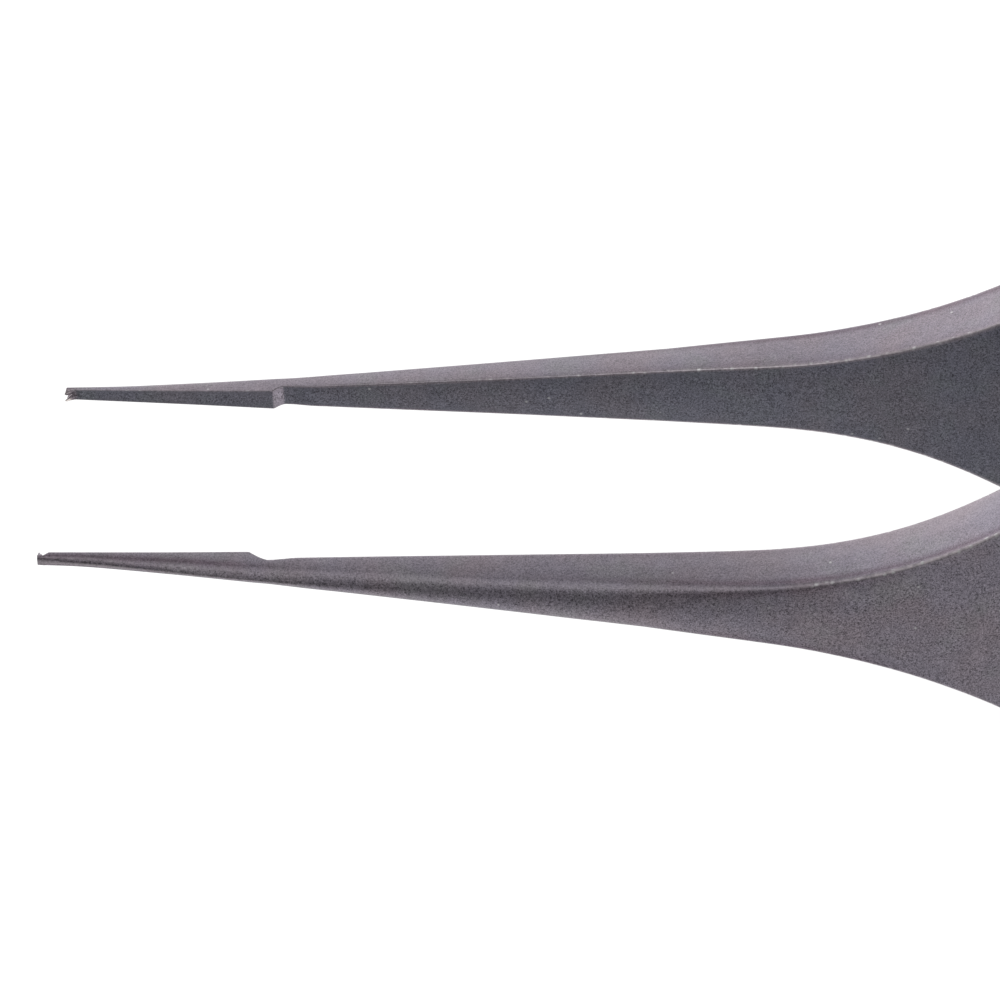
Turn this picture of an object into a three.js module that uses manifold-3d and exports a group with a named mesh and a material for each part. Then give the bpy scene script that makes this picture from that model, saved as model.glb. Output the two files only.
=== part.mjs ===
// Toothed micro forceps with tying platforms: two titanium leaf arms joined at a riveted tail.
//
// Millimetres, +Z up. The forceps lies on the long lower edges of its two arms:
//   X runs along the length, tips at -X and joined tail at +X, with the origin at mid-length;
//   Y is the way the jaws open, with Y = 0 halfway between the arms;
//   Z is across the width of the arms, with Z = 0 under the handle's lower edges.
// Distances called "along" are measured from the tips towards the tail.
import * as THREE from 'three';
import { mergeVertices } from 'three/addons/utils/BufferGeometryUtils.js';
import Module from 'manifold-3d';

const wasm = await Module();
wasm.setup();

// ---- Driving dimensions ----

const LENGTH = 108;
const HANDLE_WIDTH = 9;
const MID_Z = HANDLE_WIDTH / 2;

// Side view: distance of each arm's outer and inner face from Y = 0 when the forceps is open,
// as [along, distance].
const OUTER_FACE = [
  [0, 3.47], [1.5, 3.56], [3.5, 3.775], [5.6, 4.01], [9, 4.345], [12.5, 4.7], [15.5, 4.985],
  [19, 5.185], [22, 5.225], [24, 5.225], [27, 5.12], [29, 4.99], [50, 3.82], [70, 2.715],
  [88, 1.72], [96, 1.5],
];
const INNER_FACE = [
  [6.6, 3.41], [9, 3.44], [12.5, 3.5], [19, 3.61], [22.5, 3.565], [25.5, 3.34], [29, 3.13],
  [50, 2.23], [70, 1.372], [88, 0.6], [96, 0.5],
];

// Tying platform: the flat, slightly raised gripping pad behind the teeth.
const PLATFORM_END = 5.59;
const PLATFORM_FACE = 3.25;
const PLATFORM_TILT = THREE.MathUtils.degToRad(0.4);

// Relief behind each platform. The two differ a little, as hand-finished ones do, and what the
// depths differ by runs out along the shank. Both tips also lean a little towards +Y.
const TWO_TOOTH_RELIEF = { depth: 0.2, length: 0.28 };
const ONE_TOOTH_RELIEF = { depth: 0.3, length: 0.51 };
const RAMP_SHARE = 0.45;
const RELIEF_STEPS = 7;
const RELIEF_BLEND = 0.9;
const BLEND_STEPS = 4;
const RELIEF_BIAS = 0.03;
const BIAS_LENGTH = 6;
const TIP_LEAN = 0.04;

// Plan view: half-width of the tapering jaw and shank, as [along, half-width].
const JAW_HALF_WIDTH = [[0, 0.165], [1.5, 0.2], [3.5, 0.25], [PLATFORM_END, 0.32]];
const SHANK_HALF_WIDTH = [[6.1, 0.33], [9, 0.48], [12.5, 0.67], [18.9, 1.07]];
const SHANK_ANGLE = THREE.MathUtils.degToRad(3.5);
const FLARE_ANGLE = THREE.MathUtils.degToRad(38);
const FLARE_RADIUS = 14;
const TAPER_START = 74;
const TAPER_MIDDLE = [90, 4.1];
const TAIL_HALF_WIDTH = 3.4;
const TAIL_CORNER = 2.4;

// Broken edges, as [along, chamfer]: none on the platforms, widest on the slender shank.
const OUTER_CHAMFER = [
  [0, 0.03], [3, 0.1], [8, 0.19], [15, 0.21], [18, 0.17], [22, 0.06], [30, 0.05],
];
const INNER_CHAMFER = [[0, 0.001], [6.6, 0.001], [8, 0.03], [30, 0.05]];

// Teeth: one tooth on one arm goes into the V-shaped mouth between two on the other.
const TOOTH_HEIGHT = 0.12;
const TOOTH_CREST = 0.03;
const SINGLE_TOOTH_WIDTH = 0.08;
const MOUTH_DEPTH = 0.2;
const MOUTH_HALF_WIDTH = 0.09;
const DOUBLE_TOOTH_BASE = 0.2;
const GROOVE_LENGTH = 0.29;
const GROOVE_DEPTH = 0.145;
const CUT_MARGIN = 1;

// Cross serrations on the outside of each handle.
const SERRATION_START = 32.5;
const SERRATION_PITCH = 1.1;
const SERRATION_COUNT = 22;
const SERRATION_DEPTH = 0.16;
const SERRATION_HALF_WIDTH = 0.34;

// Closing: each arm bends about this point, the middle of its leaf, until the tips meet.
const BEND_ALONG = 88;
const BEND_GAP = 0.1;
const CLOSING_ANGLE = THREE.MathUtils.degToRad(2.12);

// Tail: both arms clamp a spacer and are held by two countersunk rivets.
const SPACER_START = 96;
const FIT_GAP = 0.02;
const RIVET_ALONG = { front: 98.8, rear: 104.2 };
const RIVET_RADIUS = 0.8;
const RIVET_HEAD_RADIUS = 1.25;
const RIVET_HEAD_DEPTH = 0.45;

// The guide pin keeps the tips in line; the stop pin limits the squeeze.
const GUIDE_ALONG = 60;
const GUIDE_RADIUS = 0.7;
const GUIDE_CLEARANCE = 0.25;
const GUIDE_REACH = 0.9;
const STOP_ALONG = 63.5;
const STOP_RADIUS = 0.6;
const STOP_GAP = 0.06;
const PIN_RECESS = 0.1;

// Fineness of the faceted curves.
const ROUND_SEGMENTS = 32;
const FACE_STEPS = 5;
const JAW_STEPS = 3;
const SHANK_STEPS = 4;
const FLARE_STEPS = 12;
const STATION_SPACING = 0.07;
const WELD_DISTANCE = 1e-5;

// ---- Materials ----

const titanium = new THREE.MeshStandardMaterial({ color: 0x8b8790, roughness: 0.5, metalness: 1 });
const pinSteel = new THREE.MeshStandardMaterial({ color: 0xa9a7a8, roughness: 0.3, metalness: 1 });

// ---- Solids ----

const at = (along) => along - LENGTH / 2;

function solidOf(geometry) {
  const bare = geometry.clone();
  bare.deleteAttribute('normal');
  bare.deleteAttribute('uv');
  const merged = mergeVertices(bare, WELD_DISTANCE);
  return new wasm.Manifold(new wasm.Mesh({
    numProp: 3,
    vertProperties: merged.attributes.position.array,
    triVerts: new Uint32Array(merged.index.array),
  }));
}

function meshOf(name, solid, material) {
  const made = solid.getMesh();
  const geometry = new THREE.BufferGeometry();
  geometry.setAttribute('position', new THREE.BufferAttribute(made.vertProperties, 3));
  geometry.setIndex(new THREE.BufferAttribute(made.triVerts, 1));
  geometry.computeVertexNormals();
  const mesh = new THREE.Mesh(geometry, material);
  mesh.name = name;
  return mesh;
}

// Skin through equal-length sections of [y, z] points, one per station, closed by flat ends.
function loft(stations, sectionAt) {
  const positions = [];
  const index = [];
  const sections = stations.map(sectionAt);
  const size = sections[0].length;
  sections.forEach((section, i) => {
    for (const [y, z] of section) positions.push(at(stations[i]), y, z);
  });
  for (let i = 0; i + 1 < stations.length; i++) {
    for (let j = 0; j < size; j++) {
      const a = i * size + j;
      const b = i * size + ((j + 1) % size);
      index.push(a, b, a + size, b, b + size, a + size);
    }
  }
  const last = (stations.length - 1) * size;
  for (let j = 1; j + 1 < size; j++) {
    index.push(0, j + 1, j, last, last + j, last + j + 1);
  }
  const geometry = new THREE.BufferGeometry();
  geometry.setAttribute('position', new THREE.Float32BufferAttribute(positions, 3));
  geometry.setIndex(index);
  return solidOf(geometry);
}

// Outline in X and Y, extruded across part of the width.
function sideExtrusion(points, fromZ, toZ) {
  const shape = new THREE.Shape(points.map(([along, y]) => new THREE.Vector2(at(along), y)));
  const geometry = new THREE.ExtrudeGeometry(shape, { depth: toZ - fromZ, bevelEnabled: false });
  return solidOf(geometry.translate(0, 0, fromZ));
}

// A round pin or drill along Y, halfway across the arms' width.
function crossPin(along, radius, fromY, toY) {
  const geometry = new THREE.CylinderGeometry(radius, radius, toY - fromY, ROUND_SEGMENTS);
  return solidOf(geometry.translate(at(along), (fromY + toY) / 2, MID_Z));
}

// ---- Curves of the arm ----

// A smooth run of points through the given ones.
function smooth(points, perSpan) {
  const nodes = points.map(([along, value]) => new THREE.Vector3(along, value, 0));
  const curve = new THREE.CatmullRomCurve3(nodes, false, 'centripetal');
  return curve.getPoints(perSpan * (points.length - 1)).map((p) => [p.x, p.y]);
}

function valueAt(run, along) {
  const next = run.findIndex(([x]) => x >= along);
  if (next < 0) return run[run.length - 1][1];
  if (next === 0) return run[0][1];
  const [x0, y0] = run[next - 1];
  const [x1, y1] = run[next];
  return y0 + ((y1 - y0) * (along - x0)) / (x1 - x0);
}

const outerRun = smooth(OUTER_FACE, FACE_STEPS);
const innerRun = smooth(INNER_FACE, FACE_STEPS);
const outerAt = (along) => valueAt(outerRun, along);

const leanAt = (along, side) => side * TIP_LEAN * Math.max(0, 1 - along / PLATFORM_END);
const platformAt = (along, side) =>
  PLATFORM_FACE + (PLATFORM_END / 2 - along) * Math.tan(PLATFORM_TILT) + leanAt(along, side);

const reliefOf = (side) => (side > 0 ? TWO_TOOTH_RELIEF : ONE_TOOTH_RELIEF);

// Inner face: flat platform, a relief ramp that eases off but still ends in a corner, then the
// plain shank.
function innerAt(along, side) {
  if (along <= PLATFORM_END) return platformAt(along, side);
  const { depth, length } = reliefOf(side);
  const past = along - PLATFORM_END;
  const edge = platformAt(PLATFORM_END, side);
  if (past <= length) {
    const share = past / length;
    const eased = Math.sin((Math.PI / 2) * share);
    return edge + depth * (RAMP_SHARE * share + (1 - RAMP_SHARE) * eased);
  }
  const biasLeft = Math.max(0, 1 - (past - length) / BIAS_LENGTH);
  const shank = valueAt(innerRun, along) - side * RELIEF_BIAS * biasLeft;
  const fade = Math.min(1, (past - length) / RELIEF_BLEND);
  return edge + depth + (shank - edge - depth) * fade * fade * (3 - 2 * fade);
}

// Outer face with the cross serrations cut into it.
function serratedAt(along, side) {
  const turn = Math.round((along - SERRATION_START) / SERRATION_PITCH);
  if (turn < 0 || turn >= SERRATION_COUNT) return outerAt(along) + leanAt(along, side);
  const off = Math.abs(along - SERRATION_START - turn * SERRATION_PITCH);
  return outerAt(along) - SERRATION_DEPTH * Math.max(0, 1 - off / SERRATION_HALF_WIDTH);
}

// Half-width: tapering jaw, shank, two tangent arcs of the flare, handle, rounded tail.
function halfWidthRun() {
  const run = [...smooth(JAW_HALF_WIDTH, JAW_STEPS), ...smooth(SHANK_HALF_WIDTH, SHANK_STEPS)];
  const [flareStart, flareHalf] = SHANK_HALF_WIDTH[SHANK_HALF_WIDTH.length - 1];
  for (let i = 1; i <= FLARE_STEPS; i++) {
    const angle = SHANK_ANGLE + ((FLARE_ANGLE - SHANK_ANGLE) * i) / FLARE_STEPS;
    run.push([
      flareStart + FLARE_RADIUS * (Math.sin(angle) - Math.sin(SHANK_ANGLE)),
      flareHalf + FLARE_RADIUS * (Math.cos(SHANK_ANGLE) - Math.cos(angle)),
    ]);
  }
  const [cornerStart, cornerHalf] = run[run.length - 1];
  const cornerRadius = (HANDLE_WIDTH / 2 - cornerHalf) / (1 - Math.cos(FLARE_ANGLE));
  for (let i = FLARE_STEPS - 1; i >= 0; i--) {
    const angle = (FLARE_ANGLE * i) / FLARE_STEPS;
    run.push([
      cornerStart + cornerRadius * (Math.sin(FLARE_ANGLE) - Math.sin(angle)),
      HANDLE_WIDTH / 2 - cornerRadius * (1 - Math.cos(angle)),
    ]);
  }
  const tailStart = LENGTH - TAIL_CORNER;
  const taper = [[TAPER_START, HANDLE_WIDTH / 2], TAPER_MIDDLE, [tailStart, TAIL_HALF_WIDTH]];
  run.push(...smooth(taper, FACE_STEPS));
  for (let i = 1; i <= FLARE_STEPS; i++) {
    const angle = (Math.PI / 2) * (i / FLARE_STEPS);
    run.push([
      tailStart + TAIL_CORNER * Math.sin(angle),
      TAIL_HALF_WIDTH - TAIL_CORNER * (1 - Math.cos(angle)),
    ]);
  }
  return run;
}

const widthRun = halfWidthRun();
const halfWidthAt = (along) => valueAt(widthRun, along);

// Every place along the arm where one of its curves has a point of its own.
function armStations(from, to, side) {
  const places = [...widthRun, ...outerRun, ...innerRun].map(([along]) => along);
  const grooves = [];
  for (let i = 0; i < SERRATION_COUNT; i++) {
    const middle = SERRATION_START + i * SERRATION_PITCH;
    grooves.push(middle - SERRATION_HALF_WIDTH, middle, middle + SERRATION_HALF_WIDTH);
  }
  const { length } = reliefOf(side);
  const relief = [];
  for (let i = 0; i <= RELIEF_STEPS; i++) relief.push(PLATFORM_END + (length * i) / RELIEF_STEPS);
  for (let i = 1; i <= BLEND_STEPS; i++) {
    relief.push(PLATFORM_END + length + (RELIEF_BLEND * i) / BLEND_STEPS);
  }
  const fixed = [...relief, ...grooves].filter((x) => x > from && x < to);
  const clear = (x) => [from, to, ...fixed].every((f) => Math.abs(f - x) > STATION_SPACING);
  const kept = places.filter((x) => x > from && x < to && clear(x)).sort((a, b) => a - b)
    .filter((x, i, all) => i === 0 || x - all[i - 1] > STATION_SPACING);
  return [from, ...kept, ...fixed, to].sort((a, b) => a - b);
}

// ---- Arms ----

function armSection(side, along) {
  const half = halfWidthAt(along);
  const inner = innerAt(along, side);
  const outer = serratedAt(along, side);
  const out = valueAt(OUTER_CHAMFER, along);
  const inn = valueAt(INNER_CHAMFER, along);
  const upper = [[inner, half - inn], [inner + inn, half], [outer - out, half], [outer, half - out]];
  const lower = upper.map(([y, z]) => [y, -z]).reverse();
  const section = [...lower, ...upper].map(([y, z]) => [side * y, MID_Z + z]);
  return side > 0 ? section.reverse() : section;
}

const armBetween = (side, from, to) =>
  loft(armStations(from, to, side), (along) => armSection(side, along));

// One tooth: a V-groove behind the tip, and a narrow tooth that stands ahead of it with the
// platform cut away on both sides.
function cutSingleTooth(arm, side) {
  const face = (along, depth) => side * (platformAt(along, side) + depth);
  const valley = GROOVE_LENGTH / 2;
  const groove = [
    [-CUT_MARGIN, face(0, -CUT_MARGIN)], [-CUT_MARGIN, face(0, GROOVE_DEPTH)],
    [valley, face(valley, GROOVE_DEPTH)], [GROOVE_LENGTH, face(GROOVE_LENGTH, 0)],
    [GROOVE_LENGTH, face(GROOVE_LENGTH, -CUT_MARGIN)],
  ];
  const tooth = [
    [0, face(0, GROOVE_DEPTH + FIT_GAP)], [0, face(0, -TOOTH_HEIGHT)],
    [TOOTH_CREST, face(TOOTH_CREST, -TOOTH_HEIGHT)], [valley, face(valley, GROOVE_DEPTH + FIT_GAP)],
  ];
  const toothHalf = SINGLE_TOOTH_WIDTH / 2;
  return arm
    .subtract(sideExtrusion(groove, MID_Z - CUT_MARGIN, MID_Z + CUT_MARGIN))
    .add(sideExtrusion(tooth, MID_Z - toothHalf, MID_Z + toothHalf));
}

// Two teeth hooked past the platform face, left by a V-shaped mouth cut into the tip.
function addDoubleTeeth(arm, side) {
  const face = (along, depth) => side * (platformAt(along, side) + depth);
  const teeth = [
    [0, face(0, FIT_GAP)], [0, face(0, -TOOTH_HEIGHT)],
    [TOOTH_CREST, face(TOOTH_CREST, -TOOTH_HEIGHT)],
    [DOUBLE_TOOTH_BASE, face(DOUBLE_TOOTH_BASE, FIT_GAP)],
  ];
  const half = JAW_HALF_WIDTH[0][1];
  const mouth = new THREE.Shape([
    [-CUT_MARGIN, MOUTH_HALF_WIDTH * (1 + CUT_MARGIN / MOUTH_DEPTH)], [MOUTH_DEPTH, 0],
    [-CUT_MARGIN, -MOUTH_HALF_WIDTH * (1 + CUT_MARGIN / MOUTH_DEPTH)],
  ].map(([along, z]) => new THREE.Vector2(at(along), -z)));
  const mouthCut = new THREE.ExtrudeGeometry(mouth, { depth: LENGTH, bevelEnabled: false })
    .rotateX(-Math.PI / 2).translate(0, 0, MID_Z);
  return arm
    .add(sideExtrusion(teeth, MID_Z - half, MID_Z + half))
    .subtract(solidOf(mouthCut));
}

// The stretch of an arm that swings when the forceps is squeezed, with its drilled hole.
function swingingArm(side, drillAlong, drillRadius) {
  const arm = armBetween(side, 0, BEND_ALONG - BEND_GAP / 2);
  return arm.subtract(crossPin(drillAlong, drillRadius, Math.min(0, side * LENGTH),
    Math.max(0, side * LENGTH)));
}

function doubleToothArm() {
  return addDoubleTeeth(swingingArm(1, GUIDE_ALONG, GUIDE_RADIUS + FIT_GAP), 1);
}

function singleToothArm() {
  const arm = swingingArm(-1, GUIDE_ALONG, GUIDE_RADIUS + GUIDE_CLEARANCE);
  const drilled = arm.subtract(crossPin(STOP_ALONG, STOP_RADIUS + FIT_GAP, -LENGTH, 0));
  return cutSingleTooth(drilled, -1);
}

// ---- Tail ----

// A rivet turned about Y, with a countersunk head at each end; grow makes the drill for it.
function rivetSolid(along, grow) {
  const half = outerAt(along) + (grow > 0 ? grow : -FIT_GAP);
  const neck = outerAt(along) - RIVET_HEAD_DEPTH;
  const shank = RIVET_RADIUS + grow;
  const headSlope = (RIVET_HEAD_RADIUS - RIVET_RADIUS) / RIVET_HEAD_DEPTH;
  const head = shank + headSlope * (half - neck);
  const profile = [[0, -half], [head, -half], [shank, -neck], [shank, neck], [head, half], [0, half]];
  const points = profile.map(([r, y]) => new THREE.Vector2(r, y));
  const geometry = new THREE.LatheGeometry(points, ROUND_SEGMENTS);
  return solidOf(geometry.translate(at(along), 0, MID_Z));
}

function drillForRivets(piece) {
  for (const along of Object.values(RIVET_ALONG)) {
    piece = piece.subtract(rivetSolid(along, FIT_GAP));
  }
  return piece;
}

const armTail = (side) => drillForRivets(armBetween(side, BEND_ALONG + BEND_GAP / 2, LENGTH));

function tailSpacer() {
  const faceY = innerAt(LENGTH, 1) - FIT_GAP;
  return drillForRivets(loft(armStations(SPACER_START, LENGTH, 1), (along) => {
    const half = halfWidthAt(along);
    return [[-faceY, -half], [-faceY, half], [faceY, half], [faceY, -half]]
      .map(([y, z]) => [y, MID_Z + z]).reverse();
  }));
}

// ---- Pins ----

// Half the space left between the inner faces when both arms are closed.
function closedHalfGap(along) {
  const bendY = (outerAt(BEND_ALONG) + innerAt(BEND_ALONG, 1)) / 2;
  return bendY + (innerAt(along, 1) - bendY) * Math.cos(CLOSING_ANGLE)
    - (BEND_ALONG - along) * Math.sin(CLOSING_ANGLE);
}

// A pin pressed into one arm from just under its outer face, standing past its inner face.
function pinSolid(side, along, radius, reach) {
  const outer = side * (outerAt(along) - PIN_RECESS);
  const inner = side * (innerAt(along, side) - reach);
  return crossPin(along, radius, Math.min(outer, inner), Math.max(outer, inner));
}

const guideReach = 2 * closedHalfGap(GUIDE_ALONG) + GUIDE_REACH;
const stopReach = 2 * closedHalfGap(STOP_ALONG) - STOP_GAP;

// ---- Forceps ----

const forceps = new THREE.Group();
forceps.add(
  meshOf('double_tooth_arm', doubleToothArm(), titanium),
  meshOf('double_tooth_arm_tail', armTail(1), titanium),
  meshOf('single_tooth_arm', singleToothArm(), titanium),
  meshOf('single_tooth_arm_tail', armTail(-1), titanium),
  meshOf('tail_spacer', tailSpacer(), titanium),
  meshOf('tail_rivet_front', rivetSolid(RIVET_ALONG.front, 0), pinSteel),
  meshOf('tail_rivet_rear', rivetSolid(RIVET_ALONG.rear, 0), pinSteel),
  meshOf('guide_pin', pinSolid(1, GUIDE_ALONG, GUIDE_RADIUS, guideReach), pinSteel),
  meshOf('stop_pin', pinSolid(-1, STOP_ALONG, STOP_RADIUS, stopReach), pinSteel),
);

export default forceps;
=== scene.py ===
"""Looks of the toothed micro forceps: bead-blasted leaf arms, micro teeth, tying platforms, pins.

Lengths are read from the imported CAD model. Shapes are worked out in millimetres, in the CAD frame,
and turned into metres as each mesh is made. "Along" is the distance from the tips to the tail, and
"side" is +1 for the two-tooth arm (+Y) and -1 for the one-tooth arm (-Y).
"""
import math

import bmesh
import bpy
import numpy as np
from mathutils import Matrix, Vector


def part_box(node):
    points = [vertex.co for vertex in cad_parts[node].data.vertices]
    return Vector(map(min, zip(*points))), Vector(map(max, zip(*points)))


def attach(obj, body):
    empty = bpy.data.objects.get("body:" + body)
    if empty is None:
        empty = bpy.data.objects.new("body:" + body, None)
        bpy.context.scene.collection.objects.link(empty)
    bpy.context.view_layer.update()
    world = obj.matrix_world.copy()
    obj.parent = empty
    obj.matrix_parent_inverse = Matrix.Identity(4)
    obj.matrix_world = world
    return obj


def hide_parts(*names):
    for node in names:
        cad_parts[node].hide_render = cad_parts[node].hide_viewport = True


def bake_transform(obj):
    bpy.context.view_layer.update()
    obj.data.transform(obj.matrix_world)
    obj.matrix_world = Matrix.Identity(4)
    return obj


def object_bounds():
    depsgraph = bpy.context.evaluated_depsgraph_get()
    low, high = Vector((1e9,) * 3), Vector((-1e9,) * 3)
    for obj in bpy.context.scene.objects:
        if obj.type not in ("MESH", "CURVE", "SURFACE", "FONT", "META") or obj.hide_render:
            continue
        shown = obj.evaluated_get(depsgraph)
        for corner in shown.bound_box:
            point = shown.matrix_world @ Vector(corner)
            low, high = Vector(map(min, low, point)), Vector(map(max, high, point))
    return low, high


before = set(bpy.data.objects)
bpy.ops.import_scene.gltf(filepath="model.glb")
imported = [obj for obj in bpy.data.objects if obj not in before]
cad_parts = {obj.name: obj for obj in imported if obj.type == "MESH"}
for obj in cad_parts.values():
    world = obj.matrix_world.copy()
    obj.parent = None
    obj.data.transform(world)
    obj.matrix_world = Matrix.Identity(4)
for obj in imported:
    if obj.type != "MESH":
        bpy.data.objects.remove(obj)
CAD_LOW, CAD_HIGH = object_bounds()

MM = 0.001
TIP_X = CAD_LOW.x / MM
LENGTH = (CAD_HIGH.x - CAD_LOW.x) / MM
MID_Z = (CAD_LOW.z + CAD_HIGH.z) / 2 / MM

# ---- Camera: where the photographer stood ----
VIEW_AZIMUTH = math.radians(6.974)
VIEW_ELEVATION = math.radians(41)
VIEW_ROLL = math.radians(-3.624)
VIEW_DISTANCE = 290.0
AIM_ALONG = 12.5
AIM_SHIFT = (-0.586, -0.426)
PIXELS_PER_MM = 37.946
SENSOR = 36.0
IMAGE_SIDE = 1000

# ---- Detail of the leaves, mm ----
TOOTH_HEIGHT = 0.12
TOOTH_CREST = 0.03
# The two teeth: hooks on the lobes at each side of a V-shaped mouth.
HOOKS = {
    "length": 0.24,
    "power": 1.6,
    "starts": 0.2,
    "full": 0.9,
    "edge": 0.8,
    "edge_drop": 0.2,
    "mouth_depth": 0.20,
    "mouth_half": 0.09,
    "lobe_round": 0.03,
    "lobe_middle": 0.13,
    "front_round": 0.22,
    "overhang": 0.14,
    "overhang_power": 1.5,
    "overhang_fade": 0.6,
    "blend": 0.75,
}
# The single tooth, ahead of a V-groove. It flares from its crest towards the leaf's back.
SINGLE = {
    "half": 0.045,
    "groove_depth": 0.145,
    "groove_length": 0.29,
    "untouched_back": 0.25,
    "flare_reach": 0.75,
    "flare_power": 1.7,
    "fade_from": 0.4,
}
SERRATION_HALF_WIDTH = 0.30
SERRATION_ROUND = 0.12
END_ROUND = 0.18
TAIL_ROUND = 2.6
RIVET = {"shank_share": 0.64, "dimple": 0.035, "sink_gap": 0.02}

# Ring places along a leaf, as (from, to, step): close at the teeth, the relief and the serrations.
RING_SPANS = [(0, 0.5, 0.02), (0.5, 5.5, 0.16), (5.5, 6.3, 0.02), (6.3, 7.6, 0.05), (7.6, 31, 0.2)]
SERRATED_FROM = 31
SERRATED_STEP = 0.065
PLAIN_STEP = 0.5
LEAF_TAIL_RINGS = 30
SPACER_TAIL_RINGS = 26


# ======== Curves read from the CAD solids ========

def node_points(*names):
    """Vertices of CAD nodes, in mm: distance along, distance from Y = 0, height from mid-width."""
    points = np.concatenate([
        np.array([v.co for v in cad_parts[name].data.vertices], float) for name in names
    ]) / MM
    return np.stack([points[:, 0] - TIP_X, np.abs(points[:, 1]), points[:, 2] - MID_Z], axis=1)


def whole_sections(points, holes):
    """Rows of (along, inner, outer, half-width), one for each full cross-section of the solid.

    Holes are (along, radius) pairs: what lies over a hole is left out, because the rim of a
    drilled hole would pass for a narrow cross-section.
    """
    fewest_points = 6
    lopsided = 0.01
    rows = []
    stations = np.round(points[:, 0], 3)
    for along in np.unique(stations):
        if any(abs(along - place) <= radius for place, radius in holes):
            continue
        group = np.unique(np.round(points[stations == along], 3), axis=0)
        half = group[:, 2].max()
        if len(group) >= fewest_points and abs(half + group[:, 2].min()) < lopsided:
            rows.append((along, group[:, 1].min(), group[:, 1].max(), half))
    return np.array(rows)


def bell(width, step):
    """Weights of a bell curve that add up to 1."""
    reach = np.arange(-3 * width, 3 * width + step, step)
    weights = np.exp(-0.5 * (reach / width) ** 2)
    return weights / weights.sum()


def eased(x, low, high):
    """0 up to low, 1 from high, and a smooth step between them."""
    share = np.clip((x - low) / (high - low), 0, 1)
    return share * share * (3 - 2 * share)


def band(distance, width):
    """1 on a line, falling smoothly to nothing beside it."""
    return np.exp(-((distance / width) ** 2))


class Curve:
    """A curve through CAD points, with the facets smoothed away between two places."""

    STEP = 0.05
    SMOOTHING = 0.45

    def __init__(self, along, value, smooth_from, smooth_to, smoothing=SMOOTHING):
        self.grid = np.arange(0, LENGTH + self.STEP, self.STEP)
        plain = np.interp(self.grid, along, value)
        weights = bell(smoothing, self.STEP)
        pad = len(weights) // 2
        soft = np.convolve(np.pad(plain, pad, mode="edge"), weights, mode="valid")[: len(plain)]
        share = eased(self.grid, smooth_from, smooth_from + 1)
        share *= 1 - eased(self.grid, smooth_to - 1, smooth_to)
        self.values = plain + (soft - plain) * share

    def __call__(self, along):
        return np.interp(along, self.grid, self.values)


PIN_NODES = ("guide_pin", "stop_pin", "tail_rivet_front", "tail_rivet_rear")


class Leaf:
    """Curves of one arm, from its swinging part and its clamped tail part.

    "inner" keeps the sharp relief behind the platform, and "level" is the same face without it.
    """

    TOOTH_ZONE = 0.4
    GROOVE_MIN = 0.1
    GROOVE_REACH = 0.5
    GROOVE_FLANK = 0.33
    HOLE_MARGIN = 0.4
    TAIL_PLAIN = 3
    INNER_SMOOTH_FROM = 7.4
    OUTER_SMOOTH_FROM = 2
    HALF_SMOOTH_FROM = 7
    LEVEL_SMOOTH_FROM = -2
    LEVEL_SMOOTHING = 1.2

    def __init__(self, *nodes):
        rows = whole_sections(node_points(*nodes), [
            ((low.x + high.x) / 2 / MM - TIP_X, (high.x - low.x) / 2 / MM + self.HOLE_MARGIN)
            for low, high in (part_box(pin) for pin in PIN_NODES)
        ])
        along, inner, outer, half = rows.T
        middles = []
        depths = []
        for place, face in zip(along, outer):
            around = outer[np.abs(along - place) < self.GROOVE_REACH]
            if face == around.min() and around.max() - face > self.GROOVE_MIN:
                middles.append(place)
                depths.append(around.max() - face)
        self.grooves = np.array(middles)
        self.groove_depth = float(np.median(depths)) if depths else 0.0
        apart = np.abs(along[:, None] - np.r_[self.grooves, -LENGTH][None, :]).min(axis=1)
        groove = apart < self.GROOVE_FLANK
        smooth_end = LENGTH - self.TAIL_PLAIN
        clear = along > self.TOOTH_ZONE
        first = np.flatnonzero(clear)[:2]
        slope = np.diff(inner[first])[0] / np.diff(along[first])[0]
        at_tip = inner[first[0]] - slope * along[first[0]]
        places, faces = np.r_[0, along[clear]], np.r_[at_tip, inner[clear]]
        self.inner = Curve(places, faces, self.INNER_SMOOTH_FROM, smooth_end)
        self.level = Curve(places, faces, self.LEVEL_SMOOTH_FROM, smooth_end, self.LEVEL_SMOOTHING)
        self.outer = Curve(along[~groove], outer[~groove], self.OUTER_SMOOTH_FROM, smooth_end)
        self.half = Curve(along, half, self.HALF_SMOOTH_FROM, smooth_end)


# ======== Meshes ========

def new_piece(name, vertices, faces):
    """A mesh object with its faces turned outwards."""
    mesh = bpy.data.meshes.new(name)
    mesh.from_pydata([tuple(v) for v in vertices], [], faces)
    solid = bmesh.new()
    solid.from_mesh(mesh)
    bmesh.ops.recalc_face_normals(solid, faces=solid.faces)
    solid.to_mesh(mesh)
    solid.free()
    piece = bpy.data.objects.new(name, mesh)
    bpy.context.scene.collection.objects.link(piece)
    return piece


def cut(piece, cutters):
    """Takes the cutters' solids out of the piece and removes them."""
    for cutter in cutters:
        tool = piece.modifiers.new("cut", "BOOLEAN")
        tool.operation = "DIFFERENCE"
        tool.solver = "EXACT"
        tool.object = cutter
    depsgraph = bpy.context.evaluated_depsgraph_get()
    final = bpy.data.meshes.new_from_object(piece.evaluated_get(depsgraph))
    piece.modifiers.clear()
    piece.data = final
    for cutter in cutters:
        bpy.data.objects.remove(cutter)


def finish_mesh(piece, sharp_angle=38):
    """Millimetres to metres, then smooth shading that keeps flat faces flat and corners crisp."""
    piece.data.transform(Matrix.Scale(MM, 4))
    piece.data.shade_smooth()
    piece.data.set_sharp_from_angle(angle=math.radians(sharp_angle))
    weighted = piece.modifiers.new("flat_faces", "WEIGHTED_NORMAL")
    weighted.keep_sharp = True
    piece.data.update()


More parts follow.
